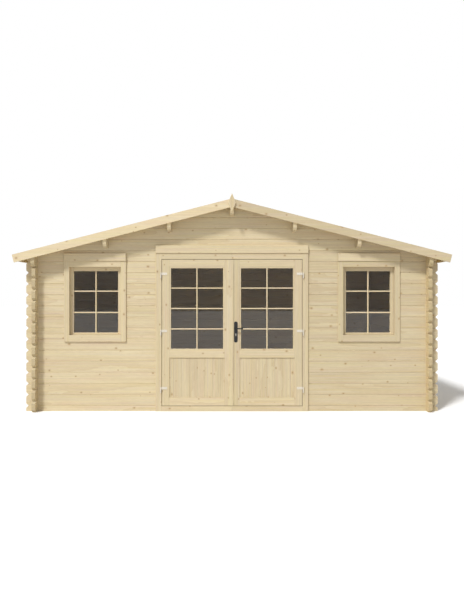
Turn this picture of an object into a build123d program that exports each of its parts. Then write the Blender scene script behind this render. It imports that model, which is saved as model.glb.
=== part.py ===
from build123d import *
import math
import os

# Log cabin. Millimetres, +X to the right, the front wall faces -Y, +Z up.
# The origin is on the ground under the middle of the cabin.

# Logs of the walls
log_height = 135.0
log_thickness = 44.0
log_bevel = 5.0
log_end_bevel = 28.0
front_log_length = 5020.0
side_log_length = 3020.0
corner_projection = 100.0
side_log_count = 13
door_log_count = 14
wall_plate_height = 183.0

# Roof
roof_pitch = 14.3
eave_overhang = 115.0
roof_overhang = 136.0
roof_board_thickness = 18.0
fascia_height = 95.0
fascia_thickness = 20.0
diamond_width = 96.0
diamond_height = 228.0
diamond_thickness = 18.0
diamond_rise = 60.0
diamond_bevel = 4.0
eave_board_height = 58.0
eave_board_thickness = 20.0

# Purlins, placed by their share of the way from the ridge to a side wall
purlin_height = 168.0
purlin_thickness = 44.0
upper_purlin_share = 0.316
lower_purlin_share = 0.6395
purlin_end_rounding = 60.0

# Floor
floor_joist_height = 45.0
floor_joist_width = 70.0
floor_joist_count = 6
floor_board_thickness = 18.0
floor_clearance = 5.0

# Doorway
doorway_width = 1716.0
door_settling_gap = 33.5
jamb_thickness = 36.0
stop_width = 16.0
casing_width = 72.0
casing_thickness = 17.0
casing_bevel = 3.0
head_board_height = 96.0
head_board_thickness = 27.0

# Door leaves
leaf_thickness = 40.0
leaf_clearance = 6.0
stop_clearance = 5.0
meeting_line = 22.5
meeting_gap = 4.0
hinge_stile_width = 91.0
light_inner_edge = 92.0
top_rail_height = 87.0
middle_rail_height = 90.0
bottom_rail_height = 98.0
panel_opening_height = 486.0
bead_width = 17.0
bead_setback = 3.0
panel_thickness = 16.0
panel_setback = 10.0
panel_tongue = 9.0
glass_thickness = 4.0
glass_edge_cover = 6.0

# Door hinges
hinge_strap_length = 77.0
hinge_strap_height = 30.0
hinge_plate_thickness = 3.0
hinge_knuckle_radius = 9.0
hinge_pin_radius = 4.0
hinge_pin_standoff = 10.0
hinge_from_doorway = 8.0
hinge_flap_width = 18.0
hinge_flap_height = 40.0
hinge_running_gap = 0.3
hinge_casing_gap = 0.5
hinge_from_leaf_bottom = 214.0
hinge_from_leaf_top = 172.0

# Door handle
handle_plate_width = 42.0
handle_plate_height = 254.0
handle_plate_thickness = 3.0
handle_plate_corner_radius = 20.0
handle_plate_inset = 1.5
lever_above_plate_middle = 42.0
lever_above_leaf_bottom = 939.0
lever_neck_radius = 8.0
lever_neck_length = 38.0
lever_grip_thickness = 10.0
lever_grip_length = 88.0
lever_elbow_radius = 14.0
lever_inner_bevel = 5.0
lever_tip_bevel = 3.5
lever_edge_bevel = 2.0
spindle_width = 8.0
spindle_hole_radius = 9.5
lever_neck_clearance = 0.5

# Windows
window_offset = 1668.0
window_opening_width = 690.0
window_sill_log_count = 6
window_log_count = 7
window_casing_side_lap = 33.0
window_casing_sill_lap = 31.0
window_casing_head_lap = 5.5
window_casing_side_board = 64.0
window_casing_sill_board = 82.0
window_casing_head_board = 70.0
window_settling_gap = 22.5
window_frame_depth = 78.0
window_stop_width = 12.0
sash_thickness = 36.0
sash_setback = 50.0
sash_stile_width = 42.0
sash_top_rail = 49.0
sash_bottom_rail = 27.0
sash_gap = 1.5

# Places worked out from the sizes above
wall_x = front_log_length / 2 - corner_projection - log_thickness / 2
wall_y = side_log_length / 2 - corner_projection - log_thickness / 2
front_face = wall_y + log_thickness / 2
room_half_width = wall_x - log_thickness / 2
room_half_depth = wall_y - log_thickness / 2
upper_purlin_offset = upper_purlin_share * wall_x
lower_purlin_offset = lower_purlin_share * wall_x
tooth_height = log_height / 2
side_wall_height = side_log_count * log_height
door_opening_top = tooth_height + door_log_count * log_height
doorway_top = door_opening_top - door_settling_gap - casing_width
slope = math.tan(math.radians(roof_pitch))
slope_cos = math.cos(math.radians(roof_pitch))
slope_sin = math.sin(math.radians(roof_pitch))
plate_top = side_wall_height + wall_plate_height
ridge_height = plate_top + wall_x * slope + roof_board_thickness / slope_cos
roof_half_width = front_log_length / 2 + eave_overhang
roof_half_length = front_face + roof_overhang
casing_face = front_face + casing_thickness
floor_top = floor_joist_height + floor_board_thickness
door_casing_top = doorway_top + casing_width
far = front_log_length


def under_roof(x):
    """Height of the roof boards' underside at a distance x from the ridge."""
    return ridge_height - roof_board_thickness / slope_cos - abs(x) * slope


def block(x0, x1, y0, y1, z0, z1):
    """A box between two corners."""
    centre = Pos((x0 + x1) / 2, (y0 + y1) / 2, (z0 + z1) / 2)
    return centre * Box(abs(x1 - x0), abs(y1 - y0), abs(z1 - z0))


def front_profile(points, y0, y1):
    """An outline drawn in X and Z, carried from y0 to y1."""
    outline = make_face(Polyline(*points, close=True))
    return extrude(Plane.XZ.offset(-y0) * outline, y0 - y1)


# Log walls, drawn along X with their middle plane on the X axis

def log(length):
    """One log with bevelled edges and ends, its underside at height 0."""
    section = chamfer(Rectangle(log_thickness, log_height).vertices(), log_bevel)
    middle = Pos(0, 0, log_height / 2)
    body = middle * extrude(Plane.YZ * section, length / 2, both=True)
    side = chamfer(Rectangle(length, log_height).vertices(), log_end_bevel)
    return body & middle * extrude(Plane.XZ * side, log_thickness, both=True)


def stack(length, first, count):
    """A wall of logs that lie on each other, from the height of the first one's underside."""
    one = log(length)
    logs = [Pos(0, 0, first + i * log_height) * one for i in range(count)]
    return logs[0] + logs[1:]


def lap_cuts(places, first, count):
    """The notches that leave each log its middle half where another wall crosses it."""
    notch = Box(log_thickness, 2 * log_thickness, tooth_height)
    return [Pos(x, 0, first + i * log_height) * notch for x in places for i in range(count)]


def side_wall(side):
    wall = stack(side_log_length, 0, side_log_count) - lap_cuts((-wall_y, wall_y), 0, side_log_count + 1)
    return Pos(side * wall_x, 0, 0) * Rot(0, 0, 90) * wall


def gable_wall():
    """The front or back wall, half a log lower than the sides and cut to the roof's slope."""
    courses = math.ceil(ridge_height / log_height) + 1
    wall = stack(front_log_length, -tooth_height, courses)
    wall -= lap_cuts((-wall_x, wall_x), tooth_height, side_log_count + 1)
    edge = front_log_length / 2
    under = [(-edge, 0), (edge, 0), (edge, under_roof(edge)), (0, under_roof(0)), (-edge, under_roof(edge))]
    wall &= front_profile(under, -log_thickness, log_thickness)
    return wall - [purlin_slot(x) for x in purlin_places]


def purlin_outline(x, bottom, rise=0.0):
    """The section of a purlin whose top is planed to the roof's slope."""
    left = x - purlin_thickness / 2
    right = x + purlin_thickness / 2
    points = [(left, bottom), (right, bottom), (right, under_roof(right) + rise)]
    if left < 0 < right:
        points.append((0, under_roof(0) + rise))
    return points + [(left, under_roof(left) + rise)]


def purlin_bottom(x):
    return under_roof(x) - purlin_height


def purlin_slot(x):
    return front_profile(purlin_outline(x, purlin_bottom(x), log_height), -log_thickness, log_thickness)


def long_timber(x, bottom):
    """A purlin or wall plate that runs to both fascias, with rounded lower corners at its ends."""
    body = front_profile(purlin_outline(x, bottom), -roof_half_length, roof_half_length)
    side = Rectangle(2 * roof_half_length, 2 * ridge_height)
    side = fillet(side.vertices().sort_by(Axis.Y)[:2], purlin_end_rounding)
    side = extrude(Plane.YZ * side, purlin_thickness, both=True)
    return body & Pos(x, 0, bottom + ridge_height) * side


def wall_plate(side):
    """The top log of a side wall, notched under and over where the end walls cross it."""
    plate = long_timber(side * wall_x, side_wall_height)
    low = side_wall_height + tooth_height / 2
    high = low + tooth_height
    for y in (-wall_y, wall_y):
        near = y - log_thickness / 2
        away = y + log_thickness / 2
        plate -= block(side * wall_x - far, side * wall_x + far, near, away, 0, low)
        plate -= block(side * wall_x - far, side * wall_x + far, near, away, high, ridge_height)
    return plate


purlin_places = (0.0, -upper_purlin_offset, upper_purlin_offset, -lower_purlin_offset, lower_purlin_offset)
full_wall = gable_wall()
low_wall = full_wall & block(-far, far, -far, far, 0, door_opening_top)
gable = full_wall & block(-far, far, -far, far, door_opening_top, ridge_height)
door_opening_half = doorway_width / 2 + jamb_thickness
window_opening_bottom = tooth_height + window_sill_log_count * log_height
window_opening_top = window_opening_bottom + window_log_count * log_height


def front_wall(side):
    """The front wall beside the doorway, with its window cut through the logs."""
    beside = block(side * door_opening_half, side * far, -far, far, 0, door_opening_top)
    left = side * window_offset - window_opening_width / 2
    window = block(left, left + window_opening_width, -far, far, window_opening_bottom, window_opening_top)
    return Pos(0, -wall_y, 0) * ((low_wall & beside) - window)


# Roof

def sloping_board(side, depth, y0, y1):
    """A board under the roof's top line, from the ridge to a square-cut end at the eave."""
    eave = ridge_height - roof_half_width * slope
    points = [
        (0, ridge_height),
        (side * roof_half_width, eave),
        (side * (roof_half_width - depth * slope_sin), eave - depth * slope_cos),
        (0, ridge_height - depth / slope_cos),
    ]
    return front_profile(points, y0, y1)


def eave_board(side):
    """The strip that closes the roof boards' ends from below, between the fascias."""
    inner = roof_board_thickness
    outer = roof_board_thickness + eave_board_height
    eave = ridge_height - roof_half_width * slope

    def place(along, down):
        x = roof_half_width - along * slope_cos - down * slope_sin
        return (side * x, eave + along * slope_sin - down * slope_cos)

    thick = eave_board_thickness
    points = [place(0, inner), place(0, outer), place(thick, outer), place(thick, inner)]
    return front_profile(points, -roof_half_length, roof_half_length)


def ridge_diamond(side):
    """The pointed board over the joint of two fascias."""
    top = ridge_height + diamond_rise
    middle = top - diamond_height / 2
    half = diamond_width / 2
    points = [(0, top), (half, middle), (0, top - diamond_height), (-half, middle)]
    back = roof_half_length + fascia_thickness
    board = front_profile(points, back, back + diamond_thickness)
    board = chamfer(board.faces().sort_by(Axis.Y)[-1].edges(), diamond_bevel)
    return board if side > 0 else Rot(0, 0, 180) * board


# Floor

def floor_joists():
    """Joists from side wall to side wall, evenly spaced from front to back."""
    half = room_half_width
    reach = room_half_depth - floor_clearance - floor_joist_width / 2
    step = 2 * reach / (floor_joist_count - 1)
    places = [-reach + i * step for i in range(floor_joist_count)]
    wide = floor_joist_width / 2
    return Compound([block(-half, half, y - wide, y + wide, 0, floor_joist_height) for y in places])


def floor_boards():
    half = room_half_width - floor_clearance
    reach = room_half_depth - floor_clearance
    return block(-half, half, -reach, reach, floor_joist_height, floor_top)


# Doorway

def door_frame():
    """Jambs, head and threshold in one ring, with the stop that the leaves close against."""
    half = doorway_width / 2
    outer = door_opening_half
    stop_front = -casing_face + leaf_thickness + stop_clearance
    frame = block(-outer, outer, -front_face, -room_half_depth, 0, door_casing_top)
    frame -= block(-half, half, -front_face, stop_front, floor_top, doorway_top)
    inner = half - stop_width
    frame -= block(-inner, inner, -far, far, floor_top, doorway_top - stop_width)
    return frame


def door_casing():
    """The boards on the wall's face beside and over the leaves."""
    half = doorway_width / 2
    outer = half + casing_width
    casing = block(-outer, outer, -casing_face, -front_face, 0, door_casing_top)
    casing = chamfer(casing.faces().sort_by(Axis.Y)[0].edges(), casing_bevel)
    return casing - block(-half, half, -far, far, floor_top, doorway_top)


def head_board(x, half, bottom):
    """The cover board over a door or window casing."""
    front = -front_face - head_board_thickness
    board = block(x - half, x + half, front, -front_face, bottom, bottom + head_board_height)
    return chamfer(board.faces().sort_by(Axis.Y)[0].edges(), casing_bevel)


# Door leaves

leaf_bottom = floor_top + leaf_clearance
leaf_top = doorway_top - leaf_clearance
leaf_outer = doorway_width / 2 - leaf_clearance
light_outer_edge = leaf_outer - hinge_stile_width
panel_bottom = leaf_bottom + bottom_rail_height
panel_top = panel_bottom + panel_opening_height
light_bottom = panel_top + middle_rail_height
light_top = leaf_top - top_rail_height
leaf_front = -casing_face
leaf_back = leaf_front + leaf_thickness
glass_front = (leaf_front + leaf_back - glass_thickness) / 2


def light_box(side, inset, y0, y1):
    """A box through the glazed opening, smaller all round by the inset."""
    inner = side * (light_inner_edge + inset)
    outer = side * (light_outer_edge - inset)
    return block(inner, outer, y0, y1, light_bottom + inset, light_top - inset)


def leaf_glass(side):
    """The pane, held in the bead by its edges."""
    return light_box(side, bead_width - glass_edge_cover, glass_front, glass_front + glass_thickness)


def leaf_panel(side):
    """The boarded panel under the glass, held in a groove of the frame."""
    front = leaf_front + panel_setback
    inner = side * (light_inner_edge - panel_tongue)
    outer = side * (light_outer_edge + panel_tongue)
    low = panel_bottom - panel_tongue
    return block(inner, outer, front, front + panel_thickness, low, panel_top + panel_tongue)


def leaf_frame(side):
    """Stiles, rails and glazing bead of one leaf."""
    meeting = meeting_line + side * meeting_gap / 2
    frame = block(meeting, side * leaf_outer, leaf_front, leaf_back, leaf_bottom, leaf_top)
    frame -= light_box(side, bead_width, -far, far)
    for y0, y1 in ((leaf_front, leaf_front + bead_setback), (leaf_back - bead_setback, leaf_back)):
        frame -= light_box(side, 0, y0, y1)
    frame -= block(side * light_inner_edge, side * light_outer_edge, -far, far, panel_bottom, panel_top)
    frame -= leaf_glass(side)
    frame -= leaf_panel(side)
    if side > 0:
        frame -= across(handle_x, lever_height, spindle_hole_radius, leaf_front, leaf_back)
    return frame


# Hinges, each with an upper knuckle and strap on the leaf and a lower one with the pin on the frame

hinge_x = doorway_width / 2 + hinge_from_doorway
hinge_y = leaf_front - hinge_pin_standoff


def upright(radius, z0, z1):
    return Pos(0, 0, (z0 + z1) / 2) * Cylinder(radius, z1 - z0)


def leaf_hinge(side):
    """The strap on the leaf, kept off the casing beside it, and the knuckle that turns on the pin."""
    low = -hinge_strap_height / 2
    high = hinge_strap_height / 2
    plate_back = hinge_pin_standoff
    plate = block(0, -side * hinge_strap_length, plate_back - hinge_plate_thickness, plate_back, low, high)
    leaf_edge = -side * (hinge_from_doorway + leaf_clearance)
    plate -= block(0, leaf_edge, plate_back - hinge_casing_gap, plate_back, low, high)
    knuckle = upright(hinge_knuckle_radius, low, high)
    return plate + knuckle - upright(hinge_pin_radius + hinge_running_gap, low, high)


def frame_hinge(side):
    """The flap on the casing behind the lower knuckle, and the pin."""
    high = -hinge_strap_height / 2 - hinge_running_gap
    low = high - hinge_flap_height
    plate_back = hinge_pin_standoff
    inner = -side * hinge_from_doorway
    outer = inner + side * hinge_flap_width
    flap = block(inner, outer, plate_back - hinge_plate_thickness, plate_back, low, high)
    pin = upright(hinge_pin_radius, high, hinge_strap_height / 2)
    return flap + upright(hinge_knuckle_radius, low, high) + pin


def hinge_set(make, side):
    """The same half of all three hinges of a leaf."""
    low = leaf_bottom + hinge_from_leaf_bottom
    high = leaf_top - hinge_from_leaf_top
    return [Pos(side * hinge_x, hinge_y, z) * make(side) for z in (low, (low + high) / 2, high)]


# Handle

handle_x = meeting_line + meeting_gap / 2 + handle_plate_inset + handle_plate_width / 2
lever_height = leaf_bottom + lever_above_leaf_bottom


def across(x, z, radius, y0, y1):
    """A round bar along Y."""
    return Pos(x, (y0 + y1) / 2, z) * Rot(90, 0, 0) * Cylinder(radius, abs(y1 - y0))


def handle_plate(y0, y1):
    face = RectangleRounded(handle_plate_width, handle_plate_height, handle_plate_corner_radius)
    plate = extrude(Plane.XZ.offset(-y0) * face, y0 - y1)
    plate = Pos(handle_x, 0, lever_height - lever_above_plate_middle) * plate
    hole = lever_neck_radius + lever_neck_clearance
    return plate - across(handle_x, lever_height, hole, y0, y1)


def handle_plates():
    """The long plates on both faces of the leaf."""
    outside = handle_plate(leaf_front - handle_plate_thickness, leaf_front)
    inside = handle_plate(leaf_back, leaf_back + handle_plate_thickness)
    return Compound([outside, inside])


def lever():
    """A round neck that stands out along +Y and a cast grip that bends towards the hinges."""
    side = lever_neck_radius
    shoulder = lever_neck_length / 2
    inner = lever_neck_length - lever_grip_thickness / 2
    outer = lever_neck_length + lever_grip_thickness / 2
    corners = [(-side, shoulder), (-side, outer), (lever_grip_length, outer), (lever_grip_length, inner)]
    outline = make_face(Polyline(*corners, (side, inner), (side, shoulder), close=True))
    outline = fillet(outline.vertices().sort_by_distance((-side, outer))[:1], lever_elbow_radius)
    outline = chamfer(outline.vertices().sort_by_distance((side, inner))[:1], lever_inner_bevel)
    outline = chamfer(outline.vertices().sort_by(Axis.X)[-2:], lever_tip_bevel)
    grip = extrude(outline, side, both=True)
    flats = grip.faces().sort_by(Axis.Z)
    grip = chamfer(flats[0].edges() + flats[-1].edges(), lever_edge_bevel)
    return across(0, 0, lever_neck_radius, 0, shoulder) + grip


def handle_lever():
    """Both levers on one square spindle."""
    half = spindle_width / 2
    spindle = block(-half, half, leaf_front, leaf_back, -half, half)
    inside = Pos(0, leaf_back, 0) * lever()
    outside = Pos(0, leaf_front, 0) * mirror(lever(), Plane.XZ)
    return Pos(handle_x, 0, lever_height) * (spindle + inside + outside)


# Windows, drawn in the middle of the wall and then moved aside

window_casing_half = window_opening_width / 2 + window_casing_side_lap
window_casing_bottom = window_opening_bottom - window_casing_sill_lap
window_casing_top = window_opening_top + window_casing_head_lap
window_inner_half = window_casing_half - window_casing_side_board
window_inner_bottom = window_casing_bottom + window_casing_sill_board
window_inner_top = window_casing_top - window_casing_head_board
pane_half = window_inner_half - sash_stile_width
pane_bottom = window_inner_bottom + sash_bottom_rail
pane_top = window_inner_top - sash_top_rail
sash_front = -casing_face + sash_setback
sash_back = sash_front + sash_thickness


def at_window(side, shape):
    return Pos(side * window_offset, 0, 0) * shape


def window_box(inset, y0, y1):
    """A box through the casing's opening, smaller all round by the inset."""
    half = window_inner_half - inset
    return block(-half, half, y0, y1, window_inner_bottom + inset, window_inner_top - inset)


def window_frame():
    """The lining of the wall's opening, with a stop behind the sash and room above for settling."""
    half = window_opening_width / 2
    back = -front_face + window_frame_depth
    high = window_opening_top - window_settling_gap
    frame = block(-half, half, -front_face, back, window_opening_bottom, high)
    frame -= window_box(0, -front_face, sash_back)
    return frame - window_box(window_stop_width, -far, far)


def window_casing():
    half = window_casing_half
    casing = block(-half, half, -casing_face, -front_face, window_casing_bottom, window_casing_top)
    casing = chamfer(casing.faces().sort_by(Axis.Y)[0].edges(), casing_bevel)
    return casing - window_box(0, -far, far)


def window_pane(cover):
    """The glass, larger than the sash's opening all round by the cover."""
    half = pane_half + cover
    front = (sash_front + sash_back - glass_thickness) / 2
    return block(-half, half, front, front + glass_thickness, pane_bottom - cover, pane_top + cover)


def window_sash():
    light = block(-pane_half, pane_half, -far, far, pane_bottom, pane_top)
    return window_box(sash_gap, sash_front, sash_back) - light - window_pane(glass_edge_cover)


# Named pieces

parts = {
    "left_wall": side_wall(-1),
    "right_wall": side_wall(1),
    "left_wall_plate": wall_plate(-1),
    "right_wall_plate": wall_plate(1),
    "front_wall_left": front_wall(-1),
    "front_wall_right": front_wall(1),
    "front_gable": Pos(0, -wall_y, 0) * gable,
    "back_wall": Pos(0, wall_y, 0) * low_wall,
    "back_gable": Pos(0, wall_y, 0) * gable,
    "roof_left": sloping_board(-1, roof_board_thickness, -roof_half_length, roof_half_length),
    "roof_right": sloping_board(1, roof_board_thickness, -roof_half_length, roof_half_length),
    "eave_boards": Compound([eave_board(-1), eave_board(1)]),
    "ridge_diamonds": Compound([ridge_diamond(-1), ridge_diamond(1)]),
    "ridge_purlin": long_timber(0, purlin_bottom(0)),
    "floor_joists": floor_joists(),
    "floor_boards": floor_boards(),
    "door_frame": door_frame(),
    "door_casing": door_casing(),
    "door_head_board": head_board(0, doorway_width / 2 + casing_width, door_casing_top),
    "frame_hinges": Compound(hinge_set(frame_hinge, -1) + hinge_set(frame_hinge, 1)),
    "handle_plates": handle_plates(),
    "handle_lever": handle_lever(),
    "window_head_boards": Compound(
        [head_board(side * window_offset, window_casing_half, window_casing_top) for side in (-1, 1)]
    ),
    "window_glass": Compound([at_window(side, window_pane(glass_edge_cover)) for side in (-1, 1)]),
}

for name, side in (("left", -1), ("right", 1)):
    fascia_back = roof_half_length + fascia_thickness
    parts[f"front_fascia_{name}"] = sloping_board(side, fascia_height, -fascia_back, -roof_half_length)
    parts[f"back_fascia_{name}"] = sloping_board(side, fascia_height, roof_half_length, fascia_back)
    for row, offset in (("upper", upper_purlin_offset), ("lower", lower_purlin_offset)):
        parts[f"{row}_purlin_{name}"] = long_timber(side * offset, purlin_bottom(offset))
    parts[f"{name}_leaf_frame"] = leaf_frame(side)
    parts[f"{name}_leaf_panel"] = leaf_panel(side)
    parts[f"{name}_leaf_glass"] = leaf_glass(side)
    parts[f"{name}_leaf_hinges"] = Compound(hinge_set(leaf_hinge, side))
    parts[f"{name}_window_frame"] = at_window(side, window_frame())
    parts[f"{name}_window_casing"] = at_window(side, window_casing())
    parts[f"{name}_window_sash"] = at_window(side, window_sash())

os.makedirs("parts", exist_ok=True)
for name, shape in parts.items():
    export_step(shape, f"parts/{name}.step")
    print(name, len(shape.solids()), round(shape.volume))
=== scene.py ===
# %% [markdown]
# # A log cabin, dressed in Blender
# The cabin's logs, boards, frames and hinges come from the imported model, each at its real size and place.
# This notebook gives them their finish, adds the small pieces that are easier to draw here, and lights
# the cabin like a catalogue picture. Everything is in metres: +X runs right along the front wall, -Y points
# out of the door, +Z is up, and the ground is at height 0.

# %% Load the frame
import math

import bmesh
import bpy
from mathutils import Matrix, Vector


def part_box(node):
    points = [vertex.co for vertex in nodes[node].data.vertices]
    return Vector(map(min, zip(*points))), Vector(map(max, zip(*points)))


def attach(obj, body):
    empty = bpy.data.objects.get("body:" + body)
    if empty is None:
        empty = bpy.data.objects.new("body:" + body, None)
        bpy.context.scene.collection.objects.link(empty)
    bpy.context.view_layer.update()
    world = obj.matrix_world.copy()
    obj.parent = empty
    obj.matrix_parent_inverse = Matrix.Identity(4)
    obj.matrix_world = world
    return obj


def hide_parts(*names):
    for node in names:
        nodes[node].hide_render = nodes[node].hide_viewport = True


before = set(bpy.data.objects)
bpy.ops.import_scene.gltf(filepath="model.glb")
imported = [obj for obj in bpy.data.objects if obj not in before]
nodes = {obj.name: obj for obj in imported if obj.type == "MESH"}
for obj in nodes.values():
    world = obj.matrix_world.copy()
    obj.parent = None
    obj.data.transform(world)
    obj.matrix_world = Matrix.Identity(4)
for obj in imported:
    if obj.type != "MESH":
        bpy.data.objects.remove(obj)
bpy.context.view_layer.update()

print(len(nodes), "nodes")

# %% [markdown]
# ## The camera
# The picture was taken square to the front, from standing eye level. The distance follows from how much
# smaller the back of each corner looks than its front. A lens of 33 mm on a 36 mm sensor then frames it.
# The camera stays level, so upright edges stay upright.

# %% Place the camera
camera_distance = 6.71
eye_height = 1.355
lens_mm = 33.0
sensor_mm = 36.0
wall_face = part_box("front_gable")[0].y

camera_data = bpy.data.cameras.new("front_camera")
camera_data.lens = lens_mm
camera_data.sensor_width = sensor_mm
camera = bpy.data.objects.new("front_camera", camera_data)
camera.location = (0, wall_face - camera_distance, eye_height)
camera.rotation_euler = (math.radians(90), 0, 0)
bpy.context.scene.collection.objects.link(camera)
bpy.context.scene.camera = camera
print("camera at", [round(v, 3) for v in camera.location])

# %% [markdown]
# ## Nodes with less typing
# A material in Blender is a small graph. Building it by hand takes three lines a node, so one helper adds
# a node, sets its options and fills its inputs, either with a value or with a link from an earlier node.
# All these nodes' types start with the same word, so the helper adds that as well. A second helper turns the
# hex colours that designers write into the linear numbers that Blender wants, and a third one starts a
# material from an empty graph.

# %% Helpers for materials
def add_node(tree, kind, inputs=None, **settings):
    """Adds a shader node with its settings. An input given a socket is linked, any other value is set."""
    node = tree.nodes.new("ShaderNode" + kind)
    for name, value in settings.items():
        setattr(node, name, value)
    for place, value in (inputs or {}).items():
        if isinstance(value, bpy.types.NodeSocket):
            tree.links.new(value, node.inputs[place])
        else:
            node.inputs[place].default_value = value
    return node


def linear(hex_colour):
    """An sRGB hex colour as linear red, green, blue and a full alpha."""
    values = [int(hex_colour[i:i + 2], 16) / 255 for i in (1, 3, 5)]
    return [v / 12.92 if v <= 0.04045 else ((v + 0.055) / 1.055) ** 2.4 for v in values] + [1.0]


def new_material(name):
    """A material with an empty node tree, and that tree."""
    material = bpy.data.materials.new(name)
    material.use_nodes = True
    material.node_tree.nodes.clear()
    return material, material.node_tree


early_wood = "#DFD0AD"
print("spruce", early_wood, "in linear light:", [round(v, 3) for v in linear(early_wood)[:3]])

# %% [markdown]
# ## Spruce, cut from a tree
# Untreated planed spruce is pale and creamy, with soft bands where the saw met the growth rings, faint
# streaks along the fibres and small soft brown knots. A flat picture of wood would smear on the log ends,
# so the wood is solid here: rings run around the tree's middle, which lies somewhere near each log, and a
# cut across the log shows them as circles by itself. All of it sits in one group that every wood shares.
# The group wants its own directions: X along the fibres, Y across the board's face and Z through it.
#
# The first part is each board's place in the tree. A random number that belongs to the board moves it some
# metres along the trunk and some centimetres off its middle, so that no two boards look alike.

# %% Each board's place in the tree
tree_spread = (9.0, 0.07, 0.05)
tree_middle = (0.0, -0.035, 0.018)


def place_in_tree(group, given):
    """The point moved to its board's own place in the tree, and the random node that says where."""
    chance = add_node(group, "TexWhiteNoise", {"W": given["Board"]}, noise_dimensions="1D")
    away = add_node(group, "VectorMath", {0: chance.outputs["Color"], 1: tree_spread}, operation="MULTIPLY")
    offset = add_node(group, "VectorMath", {0: away.outputs[0], 1: tree_middle}, operation="ADD")
    place = add_node(group, "VectorMath", {0: given["Place"], 1: offset.outputs[0]}, operation="ADD")
    return place.outputs[0], chance


# %% [markdown]
# ## Knots
# A knot is a branch cut through: a dark core of a few millimetres with a paler rim, around which the fibres
# bend. Here a Voronoi texture scatters one point in each cell of a grid that is stretched along the board.
# The cell's random colour sets the knot's size, and the cells with the lowest values get none worth seeing.

# %% The knots of a board
knot_radius = 0.0075
least_radius = 0.0002
knotless_share = 0.3
knot_scatter = 0.85
knot_squeeze = (0.75, 1.0, 0.0)    # a knot is a third longer along the fibres than across
board_shift = (40.0, 0.0, 0.0)     # in cells, so that each board has other knots
core_edge = (1.3, 0.5)             # in knot radii, from outside to inside
rim_edge = (3.6, 0.6)


def scatter_knots(group, given, chance):
    """How much of a knot's core and of its rim a point has."""
    cell = add_node(group, "VectorMath", {0: given["Place"], 1: given["Knot Cell"]}, operation="DIVIDE")
    shift = add_node(group, "VectorMath", {0: chance.outputs["Color"], 1: board_shift},
                     operation="MULTIPLY")
    cell = add_node(group, "VectorMath", {0: cell.outputs[0], 1: shift.outputs[0]}, operation="ADD")
    knots = add_node(group, "TexVoronoi",
                     {"Vector": cell.outputs[0], "Scale": 1.0, "Randomness": knot_scatter},
                     voronoi_dimensions="2D")
    # The way to the nearest knot, back in metres
    away = add_node(group, "VectorMath", {0: cell.outputs[0], 1: knots.outputs["Position"]},
                    operation="SUBTRACT")
    away = add_node(group, "VectorMath", {0: away.outputs[0], 1: given["Knot Cell"]}, operation="MULTIPLY")
    away = add_node(group, "VectorMath", {0: away.outputs[0], 1: knot_squeeze}, operation="MULTIPLY")
    reach = add_node(group, "VectorMath", {0: away.outputs[0]}, operation="LENGTH")
    luck = add_node(group, "SeparateColor", {0: knots.outputs["Color"]})
    radius = add_node(group, "MapRange",
                      {"Value": luck.outputs[0], "From Min": knotless_share, "From Max": 1.0,
                       "To Min": least_radius, "To Max": knot_radius})
    radii = add_node(group, "Math", {0: reach.outputs["Value"], 1: radius.outputs[0]}, operation="DIVIDE")
    core = add_node(group, "MapRange",
                    {"Value": radii.outputs[0], "From Min": core_edge[0], "From Max": core_edge[1]})
    rim = add_node(group, "MapRange",
                   {"Value": radii.outputs[0], "From Min": rim_edge[0], "From Max": rim_edge[1]},
                   interpolation_type="SMOOTHERSTEP")
    return core.outputs[0], rim.outputs[0]


# %% [markdown]
# ## Growth rings, streaks and fibres
# Rings come from a Wave texture in its rings form, whose sawtooth rises slowly through the pale early wood
# and drops sharply after the late wood, as a year does. Noise bends the rings, and knots push them aside.
# Everything along the grain is noise that is drawn out along the fibres, at several lengths and widths.
# Real rings lie 1 to 3 mm apart and real fibres are a few hundredths of a millimetre wide. Neither would
# show in the render, so both are drawn several times coarser, and so are the streaks of darker wood.

# %% Rings and grain
ring_spacing = 0.0084
wave_length = 0.314                # the Wave texture repeats after this many units
ring_bend = (1 / 1.1, 1 / 9)       # the length and width of the noise that bends the rings
ring_push = 0.018
knot_push = 0.3
late_wood_power = 2.2
streak_length, streak_width = 1.0, 0.013
fleck_length = 0.07
fibre_length, fibre_width = 1 / 9, 0.0016
patch_length, patch_width = 0.625, 0.0625


def noise_along(group, place, length, width, detail):
    """Noise whose clouds are drawn out along the fibres to one length and width."""
    drawn = add_node(group, "VectorMath", {0: place, 1: (1 / length, 1 / width, 1 / width)},
                     operation="MULTIPLY")
    return add_node(group, "TexNoise", {"Vector": drawn.outputs[0], "Scale": 1.0, "Detail": detail})


def grow_rings(group, place, rim):
    """How near a point is to the late wood of its growth ring."""
    wander = noise_along(group, place, *ring_bend, 2.0)
    bulge = add_node(group, "Math", {0: rim, 1: knot_push, 2: wander.outputs[0]}, operation="MULTIPLY_ADD")
    bulge = add_node(group, "Math", {0: bulge.outputs[0], 1: ring_push}, operation="MULTIPLY")
    push = add_node(group, "CombineXYZ", {"Y": bulge.outputs[0], "Z": bulge.outputs[0]})
    bent = add_node(group, "VectorMath", {0: place, 1: push.outputs[0]}, operation="ADD")
    rings = add_node(group, "TexWave",
                     {"Vector": bent.outputs[0], "Scale": wave_length / ring_spacing,
                      "Distortion": 0.6, "Detail": 1.0, "Detail Scale": 0.4},
                     wave_type="RINGS", rings_direction="X", wave_profile="SAW")
    late = add_node(group, "Math", {0: rings.outputs["Fac"], 1: late_wood_power}, operation="POWER")
    return late.outputs[0]
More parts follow.
